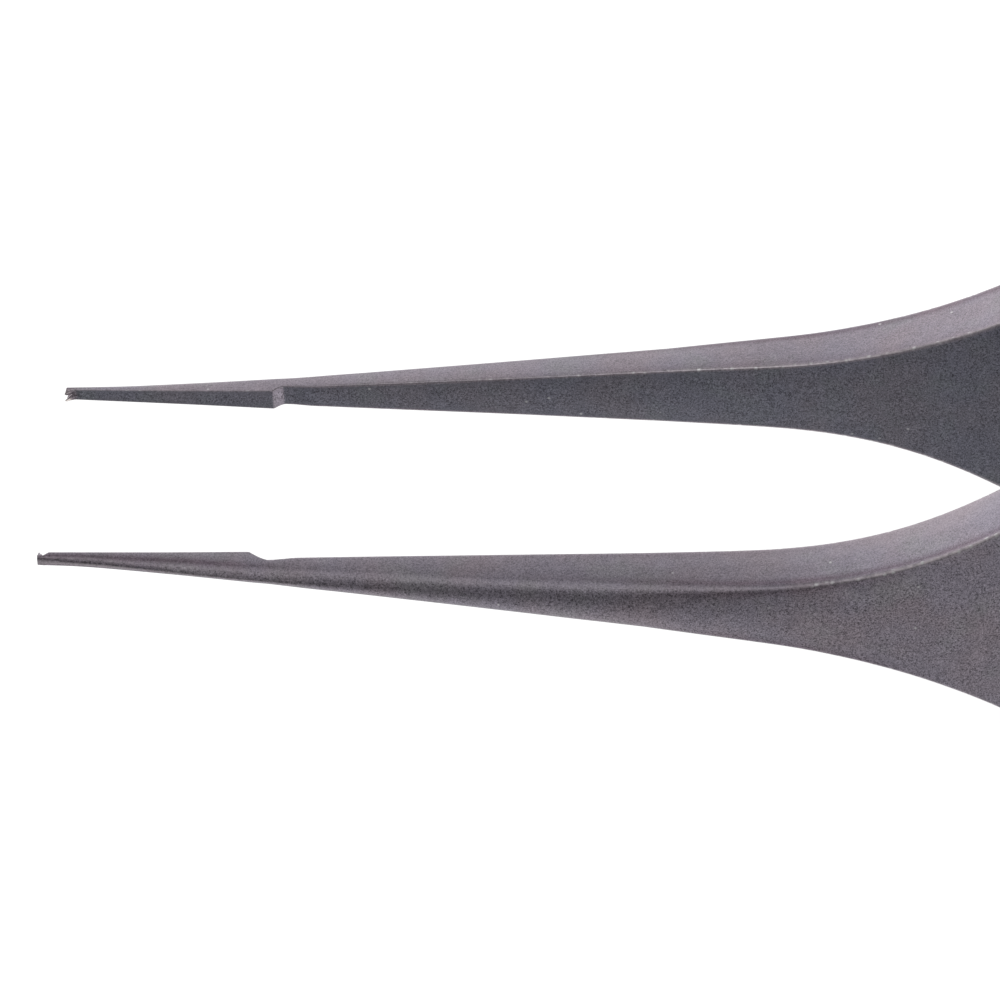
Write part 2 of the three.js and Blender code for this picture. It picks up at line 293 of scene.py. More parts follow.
def turned(name, along, profile, segments=72):
    """A solid turned about a line along Y: profile is (radius, y) from one end to the other."""
    angles = np.linspace(0, 2 * math.pi, segments, endpoint=False)
    vertices = []
    for radius, y in profile:
        for angle in angles:
            vertices.append((TIP_X + along + radius * math.cos(angle), y,
                             MID_Z + radius * math.sin(angle)))
    faces = []
    for ring in range(len(profile) - 1):
        for i in range(segments):
            a = ring * segments + i
            b = ring * segments + (i + 1) % segments
            faces.append((a, b, b + segments, a + segments))
    faces.append(tuple(range(segments))[::-1])
    last = (len(profile) - 1) * segments
    faces.append(tuple(range(last, last + segments)))
    return new_piece(name, vertices, faces)


def tail_places(count):
    """Places along the rounded corners at the tail end, closer together towards the end."""
    return LENGTH - TAIL_ROUND * (1 - np.sin(np.linspace(0, math.pi / 2, count)))


def soft_corner(start, control, end, steps):
    """Points of a conic arc between two tangents that meet at the control point, without ends."""
    shares = np.linspace(0, 1, steps + 1)[1:-1]
    weight = math.sqrt(0.5)
    points = []
    for t in shares:
        first, middle, last = (1 - t) ** 2, 2 * weight * t * (1 - t), t * t
        total = first + middle + last
        points.append(tuple((first * a + middle * c + last * b) / total
                            for a, c, b in zip(start, control, end)))
    return points


# Fractions of the half-width at which the two broad faces have points, crowded near the edge.
FACE_SHARES = np.array([0, 0.12, 0.25, 0.38, 0.5, 0.62, 0.74, 0.84, 0.92, 0.97, 1.0])
SIDE_SHARES = np.array([0, 0.06, 0.25, 0.45, 0.65, 0.82, 0.95, 1.0])
INNER_STEPS = 4
OUTER_STEPS = 9


class Section:
    """Sizes of a leaf's cross-section at each place along.

    Both broad faces and the sides are faintly crowned, and the corners between them are soft arcs
    that leave each face along its own slope.
    """

    INNER_ROUND_MOST = 0.3
    ROUND_MOST_Y = 0.6
    ROUND_MOST_Z = 0.75
    CROWN_MOST = 0.2
    SLOPE_MOST = 0.5

    def __init__(self, leaf, along, style):
        inner, outer, half = leaf.inner(along), leaf.outer(along), leaf.half(along)
        tail_end = np.clip(along - (LENGTH - END_ROUND), 0, END_ROUND)
        inset = END_ROUND - np.sqrt(np.maximum(END_ROUND ** 2 - tail_end ** 2, 0))
        thickness = outer - inner
        outer = outer - 0.5 * inset
        inner = inner + 0.5 * inset
        half = half - inset
        self.inner = inner
        self.half = half
        self.inner_round = np.minimum(
            style["inner_round"](along), self.INNER_ROUND_MOST * np.minimum(thickness, half))
        self.outer_round = style["outer_round"](along)
        round_y = np.minimum(self.outer_round, self.ROUND_MOST_Y * thickness)
        round_z = np.minimum(self.outer_round, self.ROUND_MOST_Z * half)
        self.flat = half - self.inner_round
        self.inner_slope = style["inner_slope"](along)
        self.inner_crown = self.inner_slope * self.flat / 2
        self.side_from = inner + self.inner_crown + self.inner_round
        self.face_crown = style["face_slope"](along) * (half - round_z) / 2
        self.edge = outer - self.face_crown
        self.side_to = self.edge - round_y
        side_rise = style["side_slope"](along) / 2
        side_crown = side_rise * (self.side_to - leaf.level(along) - self.inner_round)
        self.side_crown = np.clip(side_crown, 0, self.CROWN_MOST * half)
        self.side_slope = np.minimum(
            2 * self.side_crown / (self.side_to - self.side_from), self.SLOPE_MOST)
        self.top = half - self.side_crown
        self.broad = self.top - round_z
        face_slope = 2 * self.face_crown / self.broad
        self.reach = (round_y - face_slope * round_z) / (1 - self.side_slope * face_slope)


def leaf_rings(leaf, along, style):
    """Cross-sections of a leaf at each place along: arrays of y and z, one row for each place."""
    at = Section(leaf, along, style)
    inner_edge = at.inner + at.inner_crown
    upper = [(at.inner + at.inner_crown * share ** 2, at.flat * share) for share in FACE_SHARES]
    upper += soft_corner(
        (inner_edge, at.flat), (inner_edge + at.inner_slope * at.inner_round, at.half),
        (at.side_from, at.half), INNER_STEPS)
    upper += [(at.side_from + (at.side_to - at.side_from) * share,
               at.half - at.side_crown * share ** 2) for share in SIDE_SHARES]
    upper += soft_corner(
        (at.side_to, at.top), (at.side_to + at.reach, at.top - at.side_slope * at.reach),
        (at.edge, at.broad), OUTER_STEPS)
    upper += [(at.edge + at.face_crown * (1 - share ** 2), at.broad * share)
              for share in FACE_SHARES[::-1]]
    lower = [(y, -z) for y, z in upper[1:-1]][::-1]
    ys = np.stack([y for y, _ in upper + lower], axis=1)
    zs = np.stack([z for _, z in upper + lower], axis=1)
    return ys, zs, len(upper)


def cut_serrations(leaf, along, ys, outer_mask, half_width):
    """Sinks rounded V-grooves into the outer face at the places of the CAD's grooves."""
    if len(leaf.grooves) == 0:
        return
    off = np.abs(along[:, None] - leaf.grooves[None, :]).min(axis=1)
    share = np.sqrt((off / half_width) ** 2 + SERRATION_ROUND ** 2)
    depth = leaf.groove_depth * np.clip(1 - share, 0, 1) / (1 - SERRATION_ROUND)
    floor = (leaf.outer(along) - depth)[:, None]
    ys[:, outer_mask] = np.minimum(ys[:, outer_mask], floor)


def two_teeth(xs, ys, zs, platform, inner_mask):
    """Fish-mouth tip: a V-shaped mouth leaves two rounded lobes, each hooked inwards as a tooth."""
    start = xs[:, :1].copy()
    across = np.abs(zs)
    half = across.max(axis=1, keepdims=True)
    mouth_half = HOOKS["mouth_half"]
    hook = np.clip(1 - (start - TOOTH_CREST) / HOOKS["length"], 0, 1) ** HOOKS["power"]
    on_tooth = eased(across, HOOKS["starts"] * mouth_half, HOOKS["full"] * mouth_half)
    outside = eased(across, HOOKS["edge"] * half, half)
    rise = TOOTH_HEIGHT * hook * on_tooth * (1 - HOOKS["edge_drop"] * outside)
    ys[:, inner_mask] -= rise[:, inner_mask]
    mouth = HOOKS["mouth_depth"] * np.clip(1 - across / mouth_half, 0, 1)
    beyond = np.clip((across - mouth_half) / (half - mouth_half), 0, 1)
    shoulder = HOOKS["lobe_round"] * (1 - np.sqrt(1 - 0.98 * beyond ** 2))
    behind_face = np.clip((ys - platform[:, None]) / HOOKS["front_round"], 0, 1)
    overhang = HOOKS["overhang"] * behind_face ** HOOKS["overhang_power"]
    overhang *= 1 - HOOKS["overhang_fade"] * beyond
    fade = 1 - eased(start, 0, HOOKS["blend"])
    xs += fade * (np.maximum(mouth, shoulder) + overhang)


def one_tooth(xs, ys, zs, platform, _inner_mask):
    """One tooth stands at the tip, ahead of a V-groove, and flares from its crest to the back."""
    start = xs[:, :1]
    outer = ys.max(axis=1, keepdims=True)
    half = np.abs(zs).max(axis=1, keepdims=True)
    level = platform[:, None]
    groove = SINGLE["groove_depth"]
    valley = SINGLE["groove_length"] / 2
    front_slope = np.clip((start - TOOTH_CREST) / (valley - TOOTH_CREST), 0, 1)
    ahead = (TOOTH_HEIGHT + groove) * front_slope
    behind = groove * np.clip(2 - start / valley, 0, 1)
    depth = np.where(start < valley, ahead - TOOTH_HEIGHT, behind)
    back = SINGLE["untouched_back"]
    inward = np.clip(((outer - ys) / (outer - level) - back) / (1 - back), 0, 1)
    ys += depth * inward
    flare_depth = SINGLE["flare_reach"] * (outer - level + TOOTH_HEIGHT)
    below = np.clip((ys - level + TOOTH_HEIGHT) / flare_depth, 0, 1)
    width = SINGLE["half"] + (half - SINGLE["half"]) * below ** SINGLE["flare_power"]
    near_tip = 1 - eased(start, SINGLE["fade_from"] * valley, valley)
    zs *= 1 + near_tip * (width / half - 1)


def places_along(leaf):
    """Places of a leaf's rings."""
    serrated_to = leaf.grooves[-1] + 1 if len(leaf.grooves) else SERRATED_FROM + 0.5
    spans = RING_SPANS + [
        (SERRATED_FROM, serrated_to, SERRATED_STEP),
        (serrated_to, LENGTH - TAIL_ROUND, PLAIN_STEP),
    ]
    runs = [np.arange(low, high, step) for low, high, step in spans]
    return np.unique(np.round(np.concatenate(runs + [tail_places(LEAF_TAIL_RINGS)]), 4))


def leaf_piece(name, side, leaf, teeth, style):
    """Skin of a leaf: a ring of points at each place along it, shaped at the tip by teeth()."""
    along = places_along(leaf)
    ys, zs, upper_count = leaf_rings(leaf, along, style)
    size = ys.shape[1]
    faces_count = len(FACE_SHARES)
    index = np.arange(size)
    mirrored = np.minimum(index, size - index)
    inner_mask = mirrored < faces_count + INNER_STEPS - 1
    outer_mask = mirrored > upper_count - faces_count - OUTER_STEPS
    cut_serrations(leaf, along, ys, outer_mask, SERRATION_HALF_WIDTH)
    xs = np.repeat(along[:, None], size, axis=1)
    teeth(xs, ys, zs, leaf.inner(along), inner_mask)
    vertices = np.stack([xs + TIP_X, side * ys, zs + MID_Z], axis=2).reshape(-1, 3)
    faces = []
    for ring in range(len(along) - 1):
        for i in range(size):
            a = ring * size + i
            b = ring * size + (i + 1) % size
            faces.append((a, a + size, b + size, b) if side > 0 else (a, b, b + size, a + size))
    for base, flip in ((0, side > 0), ((len(along) - 1) * size, side < 0)):
        faces += [f[::-1] if flip else f for f in end_cap(base, size, upper_count, faces_count)]
    return new_piece(name, vertices, faces)


def end_cap(base, size, upper_count, faces_count):
    """Closes a leaf's end: strips between the two broad faces, and one face at each side."""
    faces = []
    last = upper_count - 1
    for j in range(faces_count - 1):
        faces.append((base + j, base + last - j, base + last - j - 1, base + j + 1))
        low = [(size - j) % size, size - (last - j), size - (last - j - 1), size - j - 1]
        faces.append(tuple(base + k for k in low[::-1]))
    edge = list(range(faces_count - 1, last - faces_count + 2))
    faces.append(tuple(base + k for k in edge[::-1]))
    faces.append(tuple(base + size - k for k in edge))
    return faces


def along_table(*pairs):
    """A value that runs straight between (along, value) pairs."""
    places, values = zip(*pairs)
    return lambda along: np.interp(along, places, values)


# Radii in mm, slopes of the crowned faces at their edges, and the strength of painted light and
# painted shade on some parts.
LEAF_STYLE = {
    "inner_round": along_table((0, 0.012), (5.5, 0.02), (7, 0.05), (20, 0.06), (30, 0.07)),
    "outer_round": along_table((0, 0.15), (3, 0.24), (8, 0.28), (15, 0.27), (19, 0.16),
                               (24, 0.08)),
    "inner_slope": along_table((5.6, 0), (7, 0.06), (16, 0.1), (20, 0.05), (25, 0.015), (32, 0)),
    "side_slope": along_table((0, 0.1), (4, 0.2), (8, 0.26), (16, 0.28), (21, 0.1), (30, 0.03)),
    "painted_light_side": along_table((0, 0)),
    "painted_light_face": along_table((0, 0)),
    "painted_shade_corner": along_table((0, 0)),
    "painted_shade_arc": along_table((0, 0)),
    "face_slope": along_table((0, 0.2), (4, 0.3), (16, 0.3), (19, 0.16), (22, 0.04), (28, 0.01)),
}
ONE_TOOTH_STYLE = dict(
    LEAF_STYLE,
    inner_round=along_table((0, 0.012), (5.5, 0.03), (7, 0.09), (15, 0.09), (30, 0.08),
                            (50, 0.07)),
    outer_round=along_table((0, 0.06), (1, 0.15), (3, 0.24), (8, 0.28), (15, 0.27), (19, 0.16),
                            (24, 0.08)),
    # Painted light on the handle's side and near the tip; painted shade at the corner and arc near
    # the tip.
    painted_light_side=along_table((14, 0), (20, 0.12), (25, 0.16), (32, 0)),
    painted_light_face=along_table((0, 0.25), (2, 0.4), (3, 0.3), (4.3, 0.12), (6, 0.1), (7, 0)),
    painted_shade_corner=along_table((0, 0.9), (4.3, 1), (5.4, 0.6), (7, 0)),
    painted_shade_arc=along_table((0, 0.45), (1, 0.45), (3, 0.35), (4.3, 0.05), (5.5, 0)),
)


# ======== Materials ========

class Nodes:
    """Short helpers for building one node tree."""

    def __init__(self, tree):
        self.tree = tree
        self.tree.nodes.clear()

    def add(self, kind, inputs=None, **settings):
        node = self.tree.nodes.new(kind)
        for key, value in settings.items():
            setattr(node, key, value)
        for key, value in (inputs or {}).items():
            self.feed(node, key, value)
        return node

    def feed(self, node, key, value):
        socket = node.inputs[key]
        if isinstance(value, bpy.types.NodeSocket):
            self.tree.links.new(value, socket)
        else:
            socket.default_value = value

    def math(self, operation, *values):
        node = self.add("ShaderNodeMath", operation=operation)
        for i, value in enumerate(values):
            self.feed(node, i, value)
        return node.outputs[0]

    def span(self, value, low, high, to_low=0.0, to_high=1.0):
        node = self.add("ShaderNodeMapRange", {
            "Value": value, "From Min": low, "From Max": high, "To Min": to_low, "To Max": to_high,
        })
        return node.outputs["Result"]

    def noise(self, vector, scale, detail=2.0, roughness=0.5):
        node = self.add("ShaderNodeTexNoise", {
            "Vector": vector, "Scale": scale, "Detail": detail, "Roughness": roughness,
        })
        return node.outputs["Fac"]

    def mix(self, factor, first, second):
        node = self.add("ShaderNodeMix", data_type="RGBA")
        self.feed(node, 0, factor)
        self.feed(node, 6, first)
        self.feed(node, 7, second)
        return node.outputs[2]

    def multiplied(self, first, second):
        node = self.add("ShaderNodeVectorMath", {0: first, 1: second}, operation="MULTIPLY")
        return node.outputs[0]

    def place_in_mm(self):
        place = self.add("ShaderNodeTexCoord").outputs["Object"]
        return self.multiplied(place, (1000, 1000, 1000))

    def mark(self, name):
        """Value of a mesh attribute written by float_attribute()."""
        return self.add("ShaderNodeAttribute", attribute_name=name).outputs["Fac"]

    def cells(self, vector, scale):
        return self.add("ShaderNodeTexVoronoi", {
            "Vector": vector, "Scale": scale, "Randomness": 1.0,
        }, feature="F1")

    def metal(self, colour, rough, height, bump_strength, bump_distance):
        """Bare metal surface, wired to the material's output."""
        bump = self.add("ShaderNodeBump", {
            "Height": height, "Strength": bump_strength, "Distance": bump_distance,
        })
        shader = self.add("ShaderNodeBsdfPrincipled", {
            "Base Color": colour, "Metallic": 1.0, "Roughness": rough, "Normal": bump.outputs[0],
        })
        self.add("ShaderNodeOutputMaterial", {"Surface": shader.outputs[0]})


def grey(value):
    return (value, value, value, 1.0)


def tint(red, green, blue):
    return (red, green, blue, 1.0)


DUST = grey(0.8)
BURR = grey(0.9)
# Pale colour of the teeth's polish and painted glint.
POLISH_AND_GLINT = tint(0.72, 0.66, 0.63)
# What the colour is multiplied by in the painted shade on the face between the arms, and in the
# painted shade lines.
BETWEEN_SHADE_FACTOR = (0.67, 0.73, 0.75)
SHADED_FACTOR = (0.66, 0.59, 0.62)


def blasted_metal(name, base, warm, cool, green, worn_and_lit, roughness, grain=1.0, lines=0.0):
    """Bead-blasted metal: grain, violet and green patches, burrs, dust, burnish, painted light and
    shade.
    """
    material = bpy.data.materials.new(name)
    material.use_nodes = True
    n = Nodes(material.node_tree)
    mm = n.place_in_mm()

    patches = n.span(n.noise(mm, 0.55, 2.0), 0.38, 0.62)
    blotches = n.span(n.noise(mm, 2.6, 3.0, 0.6), 0.3, 0.7)
    fine = n.noise(mm, 17.0, 3.0, 0.65)
    finer = n.noise(mm, 34.0, 1.0)

    colour = n.mix(patches, warm, cool)
    colour = n.mix(0.55, base, colour)
    greenish = n.span(n.noise(mm, 0.8, 3.0), 0.5, 0.68, 0, 0.6)
    colour = n.mix(greenish, colour, green)
    # Painted shade: the face between the arms is darkened, and so are the painted shade lines.
    colour = n.mix(n.mark("between_shade"), colour, n.multiplied(colour, BETWEEN_SHADE_FACTOR))
    colour = n.mix(n.mark("shaded"), colour, n.multiplied(colour, SHADED_FACTOR))
    coarse = n.span(fine, 0.3, 0.7, -0.48 * grain, 0.48 * grain)
    sandy = n.span(finer, 0.3, 0.7, -0.26 * grain, 0.26 * grain)
    smoother = n.span(n.mark("narrow_side"), 0, 1, 1, 0.62)
    grit = n.math("MULTIPLY", n.math("ADD", coarse, sandy), smoother)
    shade = n.math("ADD", n.math("ADD", 1.0, grit), n.span(blotches, 0, 1, -0.06, 0.06))
    colour = n.multiplied(colour, shade)

    burnish_and_highlight = n.mark("burnish_and_highlight")
    on_edge = n.span(burnish_and_highlight, 0.08, 0.3)
    broken = n.span(n.noise(mm, 6.0, 2.0), 0.32, 0.62)
    burnish_and_highlight = n.math("MULTIPLY", burnish_and_highlight, n.math("ADD", 0.45, n.math("MULTIPLY", 0.55, broken)))
    # Painted light, and the burnished edges with their painted highlight, are mixed towards the pale
    # worn colour.
    colour = n.mix(n.mark("painted_light"), colour, worn_and_lit)
    colour = n.mix(burnish_and_highlight, colour, worn_and_lit)

    cells = n.cells(mm, 1.4)
    cell_colour = n.add("ShaderNodeSeparateColor", {"Color": cells.outputs["Color"]})
    chosen = n.math("GREATER_THAN", cell_colour.outputs[0], 0.4)
    speck = n.math("MULTIPLY", chosen, n.span(cells.outputs["Distance"], 0.03, 0.07, 1, 0))
    colour = n.mix(n.math("MULTIPLY", speck, 0.5), colour, DUST)
    burrs = n.cells(mm, 5.0)
    burr = n.math("MULTIPLY", on_edge, n.span(burrs.outputs["Distance"], 0.14, 0.34, 1, 0))
    colour = n.mix(n.math("MULTIPLY", burr, 0.7), colour, BURR)
    # Painted glint on the teeth, with lower roughness as real polish.
    polish_and_glint = n.mark("polish_and_glint")
    colour = n.mix(polish_and_glint, colour, POLISH_AND_GLINT)

    rough = n.math("ADD", n.span(fine, 0.3, 0.7, roughness - 0.05, roughness + 0.05),
                   n.math("MULTIPLY", burnish_and_highlight, -0.10))
    rough = n.math("SUBTRACT", rough, n.math("MULTIPLY", polish_and_glint, 0.22))
    height = n.math("ADD", n.math("MULTIPLY", fine, 0.7), n.math("MULTIPLY", finer, 0.3))
    if lines:
        stretched = n.multiplied(mm, (1.2, 30.0, 30.0))
        height = n.math("ADD", height, n.math("MULTIPLY", n.noise(stretched, 1.0, 2.0), lines))
    n.metal(colour, rough, height, bump_strength=0.6, bump_distance=0.000018)
    return material


def turned_metal(name, base, ring_pitch):
    """Ground pin metal with fine turning rings about the pin's own axis."""
    material = bpy.data.materials.new(name)
    material.use_nodes = True
    n = Nodes(material.node_tree)
    mm = n.place_in_mm()
    rings = n.math("SINE", n.math("MULTIPLY", n.mark("radius"), 2 * math.pi / ring_pitch))
    smudge = n.span(n.noise(mm, 3.0, 3.0, 0.6), 0.3, 0.7, 0.82, 1.12)
    colour = n.multiplied(base[:3], smudge)
    rough = n.span(n.noise(mm, 5.0, 2.0), 0.3, 0.7, 0.24, 0.4)
    height = n.math("ADD", n.math("MULTIPLY", rings, 0.5), n.noise(mm, 25.0, 2.0))
    n.metal(colour, rough, height, bump_strength=0.3, bump_distance=0.000008)
    return material


def float_attribute(piece, name, values):
    attribute = piece.data.attributes.new(name, "FLOAT", "POINT")
    attribute.data.foreach_set("value", values.astype(np.float32))


MARKS = ("burnish_and_highlight", "painted_light", "shaded", "between_shade", "polish_and_glint", "narrow_side")
# A rounded corner's middle lies this share of its radius inside the sharp corner, on each axis.
ARC_INSET = 0.29
# A burnished line with its painted highlight is this share of the corner's radius wide,
# plus a least width in mm.
ARC_WIDTH = 0.3
LINE_LEAST = 0.02


def mark_burnish_and_painted_light(piece, side, leaf, style, tip_shade_and_glint):
    """Where the leaf has burnish, painted light, painted shade, or polish with a painted glint, and
    painted shade on its face between the arms.

    Burnish runs in a thin line along the corners, pale as a painted highlight, with a painted shade
    line beside it on the narrow side.
    """
    count = len(piece.data.vertices)
    points = np.zeros(count * 3)
    piece.data.vertices.foreach_get("co", points)
    points = points.reshape(-1, 3) / MM
    along = points[:, 0] - TIP_X
    y = side * points[:, 1]
    height = points[:, 2] - MID_Z
    z = np.abs(height)
    at = Section(leaf, along, style)
    handle = eased(along, 10, 22)
    on_side = z > at.top - ARC_WIDTH * at.outer_round - LINE_LEAST
    past_side = y > at.side_to
    float_attribute(piece, "narrow_side", on_side * 1.0)

    outer_inset = ARC_INSET * at.outer_round
    outer_arc = np.hypot(y - at.edge + outer_inset, z - at.top + outer_inset)
    inner_arc = np.hypot(y - at.side_from + (1 - ARC_INSET) * at.inner_round,
                         z - at.half + ARC_INSET * at.inner_round)
    # Burnish along the outer and inner corners, made pale as a painted highlight line.
    outer_burnish_highlight = 0.12 + 0.88 * eased(along, 19, 24)
    inner_burnish_highlight = 0.2 + 0.6 * handle
    burnish_and_highlight = outer_burnish_highlight * band(outer_arc, ARC_WIDTH * at.outer_round + LINE_LEAST)
    burnish_and_highlight += inner_burnish_highlight * band(inner_arc, ARC_WIDTH * at.inner_round + LINE_LEAST)
    burnish_and_highlight = np.clip(burnish_and_highlight, 0, 1)
    float_attribute(piece, "burnish_and_highlight", burnish_and_highlight)

    # Painted light: along the side near the inner edge on the handle, and on the outer face's lower
    # part near the tip.
    painted_light = style["painted_light_side"](along) * on_side * band(y - at.inner, 0.6)
    painted_light += style["painted_light_face"](along) * past_side * eased(at.broad - z, 0, 0.3 * at.broad)
    float_attribute(piece, "painted_light", painted_light)

    # Painted shade: lines beside the burnish on the handle's sides, a band under the outer edge, a
    # dark corner and arc near the one tooth, and the two-tooth tip.
    shaded = handle * band(y - at.side_to + 0.05, 0.09)
    shaded = np.maximum(shaded, handle * band(y - at.side_from - 0.03, 0.05))
    shaded *= on_side * (1 - burnish_and_highlight)
    shoulder = eased(along, 15, 19) * (1 - eased(along, 21, 25))
    under_edge = (y > at.edge - 0.05) * band(at.broad - z, 0.13)
    shaded = np.maximum(shaded, 0.6 * shoulder * under_edge)
    down_arc = np.interp(along, (2.2, 4), (0.35, 0)) * (at.edge - at.side_to)
    corner = np.hypot(y - at.side_to - down_arc, z - at.top + 0.2 * down_arc)
    shaded = np.maximum(shaded, style["painted_shade_corner"](along) * band(corner, 0.11))
    shaded = np.maximum(shaded, style["painted_shade_arc"](along) * past_side * (z > at.broad))
    tip_shade = tip_shade_and_glint * (1 - eased(along, 0.1, 0.5))
    float_attribute(piece, "shaded", np.maximum(shaded, tip_shade))

    # Painted shade on the face between the arms, left off the steep ramps.
    run = 0.03
    ramp = np.abs(leaf.inner(along + run) - leaf.inner(along - run)) / (2 * run)
    between = (y - at.inner < 0.15 * (at.edge - at.inner)) & (z < at.half - 1.3 * at.inner_round)
    float_attribute(piece, "between_shade", between * (1 - eased(ramp, 0.15, 0.35)) * (along > 0.3))

    # Painted glint on the teeth's inner faces, stronger on the lower tooth.
    glint = band(z - HOOKS["lobe_middle"], 0.05) * (1 - eased(along, 0.1, 0.2))
    glint *= (y < at.inner + 0.02) * np.where(height < 0, 1.0, 0.3)
    float_attribute(piece, "polish_and_glint", tip_shade_and_glint * glint)


def mark_radius(piece, along):
    """Distance of each point from the pin's axis, for its turning rings, in mm."""
    points = np.array([v.co for v in piece.data.vertices]) / MM
    float_attribute(piece, "radius", np.hypot(points[:, 0] - TIP_X - along, points[:, 2] - MID_Z))


# ======== Pieces ========

def pin_facts(node):
    """Place along, radius and the two Y ends of a CAD pin or rivet, in mm."""
    low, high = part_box(node)
    along = (low.x + high.x) / 2 / MM - TIP_X
    return along, (high.x - low.x) / 2 / MM, low.y / MM, high.y / MM


def hole_radius(node, along, reach=1.6):
    """Radius of the hole drilled in a CAD leaf at a place along it, or None where there is none."""
    points = node_points(node)
    away = np.hypot(points[:, 0] - along, points[:, 2])
    near = away[away < reach]
    return float(near.min()) if len(near) else None


HOLE_SEGMENTS = 64
THROUGH = 3


def drill(along, radius, low_y, high_y):
    """Cutter for a plain hole."""
    return turned("drill", along, [(radius, low_y), (radius, high_y)], HOLE_SEGMENTS)


def countersink(along, shank, head, depth, face_y, side):
    """Cutter for a countersunk hole that opens at the leaf's outer face."""
    past = 0.3
    slope = (head - shank) / depth
    profile = [
        (shank, side * (face_y - THROUGH)),
        (shank, side * (face_y - depth)),
        (head + slope * past, side * (face_y + past)),
    ]
    return turned("countersink", along, profile if side > 0 else profile[::-1], HOLE_SEGMENTS)


PIN_FACE_SHARES = (0.02, 0.35, 0.7, 0.95)
PIN_ARC_RINGS = 7


def rounded_pin(name, node, end_round):
    """A cylindrical pin with flat ends and rounded rims."""
    along, radius, low, high = pin_facts(node)
    arc = [(radius - end_round + end_round * math.sin(a), end_round - end_round * math.cos(a))
           for a in np.linspace(0, math.pi / 2, PIN_ARC_RINGS)]
    face = [(radius - end_round) * share for share in PIN_FACE_SHARES]
    start = [(r, low) for r in face] + [(r, low + y) for r, y in arc]
    end = [(r, high - y) for r, y in arc[::-1]] + [(r, high) for r in face[::-1]]
    piece = turned(name, along, start + end)
    finish_mesh(piece)
    mark_radius(piece, along)
    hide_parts(node)
    return piece


def rivet_piece(name, node):
    """Countersunk rivet, closed flush at both ends, with a faint dimple from the setting tool."""
    along, head, low, high = pin_facts(node)
    shank = RIVET["shank_share"] * head
    depth = head - shank
    dimple = RIVET["dimple"]
    half = [
        (0.02, high - dimple),
        (0.3 * head, high - 0.7 * dimple),
        (0.62 * head, high - 0.1 * dimple),
        (0.8 * head, high),
        (head - 0.06, high),
        (head - 0.015, high - 0.02),
        (head, high - 0.06),
        (shank, high - depth),
    ]
    profile = [(r, -y) for r, y in half] + [(r, y) for r, y in half[::-1]]
    piece = turned(name, along, profile)
    finish_mesh(piece)
    mark_radius(piece, along)
    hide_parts(node)
    return piece


def spacer_piece(name, node, leaf):
    """Tail spacer: a slab with the leaves' outline and softly broken edges."""
    low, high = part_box(node)
    start = low.x / MM - TIP_X
    thick = high.y / MM
    edge = 0.05
    broken = 0.06
    tail = tail_places(SPACER_TAIL_RINGS)
    middle = np.arange(start + 0.3, tail[0], 0.4)
    along = np.unique(np.r_[start, start + 0.02, start + broken, middle, tail])
    inset = edge * np.clip(1 - (along - start) / broken, 0, 1)
    half = leaf.half(along) - edge - inset
    rings = []
    for y_side, z_side in ((-1, 1), (1, 1), (1, -1), (-1, -1)):
        for step in range(4):
            angle = math.radians(30 * step)
            if y_side * z_side < 0:
                out_y, out_z = math.cos(angle), math.sin(angle)
            else:
                out_y, out_z = math.sin(angle), math.cos(angle)
            rings.append((y_side * (thick - inset - edge + edge * out_y),
                          z_side * (half + edge * out_z)))
    size = len(rings)
    vertices = []
    for i, place in enumerate(along):
        for y, z in rings:
            vertices.append((TIP_X + place, y[i], MID_Z + z[i]))
    faces = []
    for ring in range(len(along) - 1):
        for i in range(size):
            a = ring * size + i
            b = ring * size + (i + 1) % size
            faces.append((a, b, b + size, a + size))
    faces.append(tuple(range(size))[::-1])
    faces.append(tuple(range((len(along) - 1) * size, len(along) * size)))
    return new_piece(name, vertices, faces)


def arm_piece(name, side, nodes, teeth, style, tip_shade_and_glint, metal):
    """One whole leaf: it stands for the CAD's swinging part and clamped tail part."""
    swinging = nodes[0]
    leaf = Leaf(*nodes)
    piece = leaf_piece(name, side, leaf, teeth, style)
    cutters = []
    for pin in ("guide_pin", "stop_pin"):
        along, _, _, _ = pin_facts(pin)
        drilled = hole_radius(swinging, along)
        if drilled:
            face = side * float(leaf.outer(along))
            cutters.append(drill(along, drilled, min(0, 2 * face), max(0, 2 * face)))
    for rivet in ("tail_rivet_front", "tail_rivet_rear"):
        along, head, _, high = pin_facts(rivet)
        shank = RIVET["shank_share"] * head
        gap = RIVET["sink_gap"]
        cutters.append(countersink(along, shank + gap, head + gap, head - shank, high, side))
    cut(piece, cutters)
    finish_mesh(piece)
    mark_burnish_and_painted_light(piece, side, leaf, style, tip_shade_and_glint)
    piece.data.materials.append(metal)
    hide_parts(*nodes)
    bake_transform(piece)
    return leaf


# The pale worn colour serves the burnish, its painted highlights and the painted light.
titanium = blasted_metal(
    "blasted_titanium",
    base=tint(0.298, 0.264, 0.308), warm=tint(0.310, 0.264, 0.294), cool=tint(0.284, 0.265, 0.318),
    green=tint(0.290, 0.280, 0.300), worn_and_lit=tint(0.86, 0.78, 0.82), roughness=0.42)
spacer_metal = blasted_metal(
    "ground_titanium",
    base=tint(0.30, 0.28, 0.31), warm=tint(0.31, 0.28, 0.30), cool=tint(0.28, 0.28, 0.32),
    green=tint(0.30, 0.30, 0.30), worn_and_lit=tint(0.46, 0.44, 0.46), roughness=0.38, grain=0.6, lines=0.8)
pin_metal = turned_metal("turned_pin_metal", tint(0.42, 0.405, 0.42), ring_pitch=0.07)

